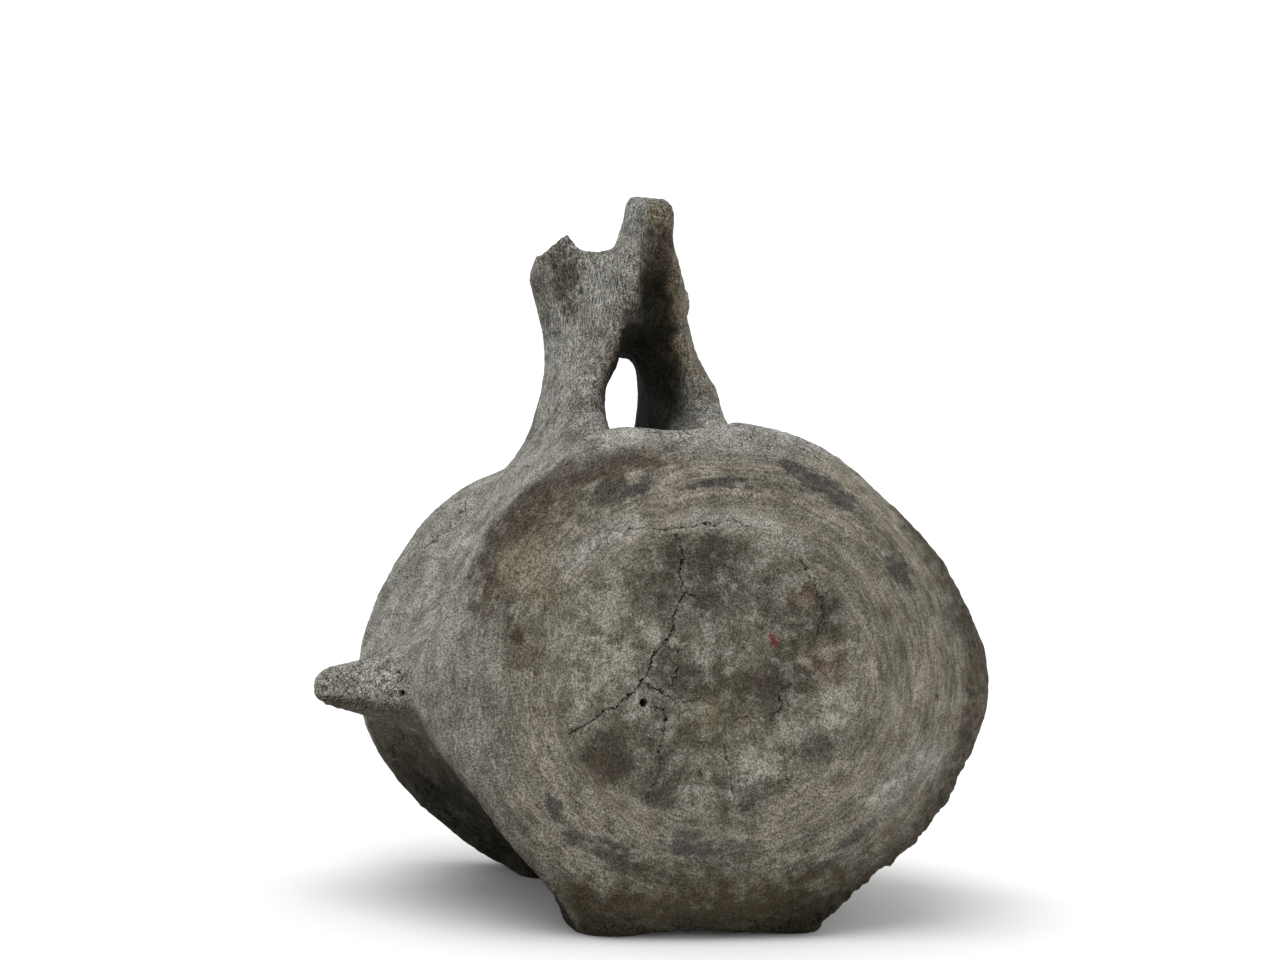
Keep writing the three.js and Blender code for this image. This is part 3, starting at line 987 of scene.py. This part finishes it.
spans = {
    # Where a noise begins and ends, and the values that it then runs between if not 0 and 1.
    "side": (0.34, 0.62),
    "ring": (0.36, 0.62),
    "bands": (0.35, 0.65, 0.82, 1.16),
    "discMiddle": (0.41, 0.51),
    "discLight": (0.5, 0.575),
    "rounds": (0.38, 0.62, -0.13, 0.09),
    "broken": (0.36, 0.54, 0.62, 1.0),
    "dirtAndShade": (0.3, 0.6, 0.7, 1.0),
    "dark": (0.3, 0.6, 0.8, 1.0),
    "specks": (0.5, 0.6),
    "clouds": (0.3, 0.7, 0.86, 1.12),
    "grain": (0.36, 0.64, -1.0, 1.0),
    "flecks": (0.52, 0.62),
    "litFlecks": (0.48, 0.38),
    "net": (0.012, 0.055, 1.0, 0.0),
    "netBreaks": (0.38, 0.5),
    "pores": (0.16, 0.42, 1.0, 0.0),
    "roughness": (0.3, 0.7, 0.95, 0.8),
}


class Sheet:
    # A short way to write a material's nodes.
    def __init__(self, material):
        self.tree = material.node_tree
        self.tree.nodes.clear()

    def add(self, kind, inputs=(), **settings):
        node = self.tree.nodes.new(kind)
        for name, value in settings.items():
            setattr(node, name, value)
        for socket, value in dict(inputs).items():
            self.put(node.inputs[socket], value)
        return node

    def put(self, socket, value):
        if isinstance(value, bpy.types.NodeSocket):
            self.tree.links.new(value, socket)
        elif isinstance(value, tuple) and len(value) == 3 and socket.type == "RGBA":
            socket.default_value = (*value, 1.0)
        else:
            socket.default_value = value

    def mask(self, name):
        return self.add("ShaderNodeAttribute", attribute_name=name).outputs["Fac"]

    def place(self, name):
        return self.add("ShaderNodeAttribute", attribute_name=name).outputs["Vector"]

    def noise(self, vector, size, detail, roughness):
        inputs = {"Vector": vector, "Scale": 1.0 / size, "Detail": detail, "Roughness": roughness}
        return self.add("ShaderNodeTexNoise", inputs).outputs["Fac"]

    def vector(self, first, second, operation):
        return self.add("ShaderNodeVectorMath", {0: first, 1: second}, operation=operation).outputs[0]

    def span(self, value, name):
        low, high, start, end = (*spans[name], 0.0, 1.0)[:4]
        inputs = {"Value": value, "From Min": low, "From Max": high, "To Min": start, "To Max": end}
        return self.add("ShaderNodeMapRange", inputs, interpolation_type="SMOOTHSTEP").outputs[0]

    def plus(self, first, second):
        return self.add("ShaderNodeMath", {0: first, 1: second}, operation="ADD").outputs[0]

    def times(self, first, second):
        return self.add("ShaderNodeMath", {0: first, 1: second}, operation="MULTIPLY").outputs[0]

    def blend(self, share, first, second, kind="MIX"):
        node = self.add("ShaderNodeMix", data_type="RGBA", blend_type=kind)
        for number, value in ((0, share), (6, first), (7, second)):
            self.put(node.inputs[number], value)
        return node.outputs[2]

    def brighten(self, colour, value):
        # Multiplies a colour by a grey value.
        inputs = {"Red": value, "Green": value, "Blue": value}
        grey = self.add("ShaderNodeCombineColor", inputs).outputs[0]
        return self.blend(1.0, colour, grey, "MULTIPLY")

    def lightenBy(self, colour, share, name):
        return self.brighten(colour, self.plus(1.0, self.times(share, brightnessShift[name])))


def makeNoises(sheet):
    bone, ring, flow = sheet.place("boneAt"), sheet.place("ringAt"), sheet.place("flowAt")
    inputs = {"Vector": bone, "Scale": warp["scale"], "Detail": warp["detail"]}
    bent = sheet.add("ShaderNodeTexNoise", inputs).outputs["Color"]
    bent = sheet.vector(bent, (warp["reach"],) * 3, "MULTIPLY")
    wavy = sheet.vector(ring, sheet.vector(bent, (warp["ringShare"],) * 3, "MULTIPLY"), "ADD")
    noise = {name: sheet.noise(bone, *setting) for name, setting in texture.items()}
    for name, (stretch, detail, roughness) in stretched.items():
        places = sheet.vector(flow if name == "flecks" else wavy, stretch, "MULTIPLY")
        noise[name] = sheet.noise(places, 1.0, detail, roughness)
    net = {"Vector": sheet.vector(bone, bent, "ADD"), "Scale": netScale}
    pores = {"Vector": bone, "Scale": poreScale}
    for name, inputs, feature in (("net", net, "DISTANCE_TO_EDGE"), ("pores", pores, "F1")):
        noise[name] = sheet.add("ShaderNodeTexVoronoi", inputs, feature=feature).outputs["Distance"]
    return noise


def mixed(sheet, noise, name):
    (first, firstShare), (second, secondShare) = mixes[name]
    return sheet.plus(sheet.times(noise[first], firstShare), sheet.times(noise[second], secondShare))


def surfaceTones(sheet, noise):
    # The even tones of the sides, the ring and the disc, with the painted light and shade of the tone
    # laid over them.
    look = boneLook
    side = sheet.blend(sheet.span(noise["mottle"], "side"), look["sideDark"], look["sideLight"])
    ring = sheet.span(mixed(sheet, noise, "ring"), "ring")
    ring = sheet.blend(ring, look["ringDark"], look["ringLight"])
    ring = sheet.brighten(ring, sheet.span(noise["bands"], "bands"))
    patches = mixed(sheet, noise, "disc")
    for name in ("flakes", "toneAndLight"):
        patches = sheet.plus(patches, sheet.times(sheet.mask(name), mixes[name]))
    noise["disc"] = patches
    disc = sheet.blend(sheet.span(patches, "discMiddle"), look["discDark"], look["discMiddle"])
    lichen = mixed(sheet, noise, "lichen")
    disc = sheet.blend(sheet.span(lichen, "discLight"), disc, look["discLight"])
    colour = sheet.blend(sheet.mask("onFace"), side, ring)
    colour = sheet.blend(sheet.mask("disc"), colour, disc)
    # The tone, with its painted light and shade.
    colour = sheet.lightenBy(colour, sheet.mask("toneAndLight"), "toneAndLight")
    rounds = sheet.times(sheet.span(noise["strokes"], "rounds"), sheet.mask("face"))
    return sheet.lightenBy(colour, rounds, "rounds")


def addStainsAndPaintedLight(sheet, noise, colour):
    # Stains and painted light lie one over the other; the pale stain holds painted highlights, and the
    # dirt and dark layers painted shade.
    broken = sheet.span(noise["broken"], "broken")
    for name, strength in stainAndHighlightStrength.items():
        share = sheet.times(sheet.times(sheet.mask(name), broken), strength)
        colour = sheet.blend(share, colour, boneLook[name])
    # Painted shade under the bone, in its hollows and in the canal, and the darker foot.
    for name in ("dirtAndShade", "dark"):
        share = sheet.times(sheet.mask(name), sheet.span(noise["mottle"], name))
        colour = sheet.blend(share, colour, boneLook[name])
    specks = sheet.times(sheet.span(noise["scabs"], "specks"), sheet.mask("specked"))
    return sheet.blend(sheet.times(specks, speckStrength), colour, boneLook["speck"])


def addWear(sheet, noise, colour):
    # Salt and pepper everywhere, long flecks on the arch, and a net of hair cracks on the sides.
    colour = sheet.brighten(colour, sheet.span(noise["cloudy"], "clouds"))
    grain = sheet.times(sheet.span(noise["grain"], "grain"), sheet.mask("grainy"))
    fleckMask = sheet.plus(fleckBase, sheet.mask("onArch"))
    flecks = sheet.times(sheet.span(noise["flecks"], "flecks"), fleckMask)
    litFlecks = sheet.times(sheet.span(noise["flecks"], "litFlecks"), sheet.mask("onArch"))
    net = sheet.times(sheet.span(noise["net"], "net"), sheet.mask("netted"))
    net = sheet.times(net, sheet.span(noise["mottle"], "netBreaks"))
    pores = sheet.times(sheet.span(noise["pores"], "pores"), sheet.mask("worn"))
    shares = {"grain": grain, "flecks": flecks, "litFlecks": litFlecks, "net": net, "pores": pores}
    for name, share in shares.items():
        colour = sheet.lightenBy(colour, share, name)
    for name in ("crack", "hole"):
        colour = sheet.blend(sheet.mask(name), colour, boneLook["crack"])

    # The smallest relief.
    shares.update(grain=noise["grain"], strokes=sheet.times(noise["strokes"], sheet.mask("onFace")))
    height = 0.0
    for name, strength in wearHeight.items():
        height = sheet.plus(height, sheet.times(shares[name], strength))
    return colour, height


def makeMaterial():
    material = bpy.data.materials.new("weathered_bone")
    material.use_nodes = True
    sheet = Sheet(material)
    noise = makeNoises(sheet)
    colour = surfaceTones(sheet, noise)
    colour = addStainsAndPaintedLight(sheet, noise, colour)
    colour, height = addWear(sheet, noise, colour)
    bump = sheet.add("ShaderNodeBump", {
        "Strength": boneLook["bump"], "Distance": boneLook["bumpDepth"], "Height": height,
    })
    shader = sheet.add("ShaderNodeBsdfPrincipled", {
        "Base Color": colour,
        "Roughness": sheet.span(noise["mottle"], "roughness"),
        "Specular IOR Level": boneLook["specular"],
        "Normal": bump.outputs[0],
    })
    sheet.add("ShaderNodeOutputMaterial", {"Surface": shader.outputs[0]})
    return material


# Floor, light and camera, in metres.

studio = {
    "floorTone": (0.86, 0.86, 0.86),
    "floorRoughness": 0.95,
    "steps": 24,
    "sides": 96,
    "middleRadius": 0.3,
    "flatRadius": 2.5,
    "rimRadius": 9.0,
    "rimHeight": 4.6,
    "sky": (1.0, 1.0, 1.0),
    "skyStrength": 0.8,
    "lampAngle": 50,  # degrees, for soft shadows
    "lampStrength": 1.75,
    "lampFrom": (-0.32, -0.22, 1.0),
    "lampHeight": 2.5,
}


def makeFloor():
    # A round floor that curves up far away, so that no edge shows behind the bone.
    steps, sides = studio["steps"], studio["sides"]
    middle, flat, rim = studio["middleRadius"], studio["flatRadius"], studio["rimRadius"]
    turns = [2 * math.pi * side / sides for side in range(sides)]
    mesh = bmesh.new()
    rings = []
    for step in range(steps + 1):
        radius = middle + step / steps * (rim - middle)
        height = studio["rimHeight"] * max(0.0, (radius - flat) / (rim - flat)) ** 2
        places = [(radius * math.cos(turn), radius * math.sin(turn), height) for turn in turns]
        rings.append([mesh.verts.new(place) for place in places])
    mesh.faces.new(rings[0])
    for inner, outer in zip(rings[:-1], rings[1:]):
        for side in range(sides):
            after = (side + 1) % sides
            mesh.faces.new((inner[side], outer[side], outer[after], inner[after]))
    bmesh.ops.recalc_face_normals(mesh, faces=mesh.faces)
    data = bpy.data.meshes.new("floor")
    mesh.to_mesh(data)
    mesh.free()
    for polygon in data.polygons:
        polygon.use_smooth = True
    floor = bpy.data.objects.new("floor", data)
    bpy.context.scene.collection.objects.link(floor)
    material = bpy.data.materials.new("studio_floor")
    material.use_nodes = True
    sheet = Sheet(material)
    shader = sheet.add("ShaderNodeBsdfPrincipled", {
        "Base Color": studio["floorTone"], "Roughness": studio["floorRoughness"],
    })
    sheet.add("ShaderNodeOutputMaterial", {"Surface": shader.outputs[0]})
    data.materials.append(material)


def makeLight():
    world = bpy.data.worlds.new("studio")
    world.use_nodes = True
    background = world.node_tree.nodes["Background"]
    background.inputs["Color"].default_value = (*studio["sky"], 1.0)
    background.inputs["Strength"].default_value = studio["skyStrength"]
    bpy.context.scene.world = world
    lamp = bpy.data.lights.new("overhead", "SUN")
    lamp.angle = math.radians(studio["lampAngle"])
    lamp.energy = studio["lampStrength"]
    light = bpy.data.objects.new("overhead", lamp)
    light.location = (0.0, 0.0, studio["lampHeight"])
    light.rotation_euler = (-Vector(studio["lampFrom"])).to_track_quat("-Z", "Y").to_euler()
    bpy.context.scene.collection.objects.link(light)


cameraSetting = {
    "place": (-0.2680, -0.8208, 0.16832),
    "azimuth": 16.92,  # degrees to the right of straight ahead
    "elevation": 3.54,
    "roll": 3.20,
    "lens": 44.775,
    "nearest": 0.01,
}


def makeCamera():
    data = bpy.data.cameras.new("camera")
    data.lens = cameraSetting["lens"]
    data.clip_start = cameraSetting["nearest"]
    camera = bpy.data.objects.new("camera", data)
    camera.location = cameraSetting["place"]
    azimuth = math.radians(cameraSetting["azimuth"])
    elevation = math.radians(cameraSetting["elevation"])
    level = math.cos(elevation)
    forward = Vector((math.sin(azimuth) * level, math.cos(azimuth) * level, math.sin(elevation)))
    turn = forward.to_track_quat("-Z", "Y").to_matrix()
    turn = turn @ Matrix.Rotation(math.radians(cameraSetting["roll"]), 3, "Z")
    camera.rotation_euler = turn.to_euler()
    bpy.context.scene.collection.objects.link(camera)
    bpy.context.scene.camera = camera


vertebra = makeSkin()
refineWounds(vertebra)
sculpt(vertebra)
vertebra.data.materials.clear()
vertebra.data.materials.append(makeMaterial())
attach(vertebra, "root")
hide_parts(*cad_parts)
makeFloor()
makeLight()
makeCamera()
bpy.context.scene.view_settings.view_transform = "Standard"
print("studio ready")
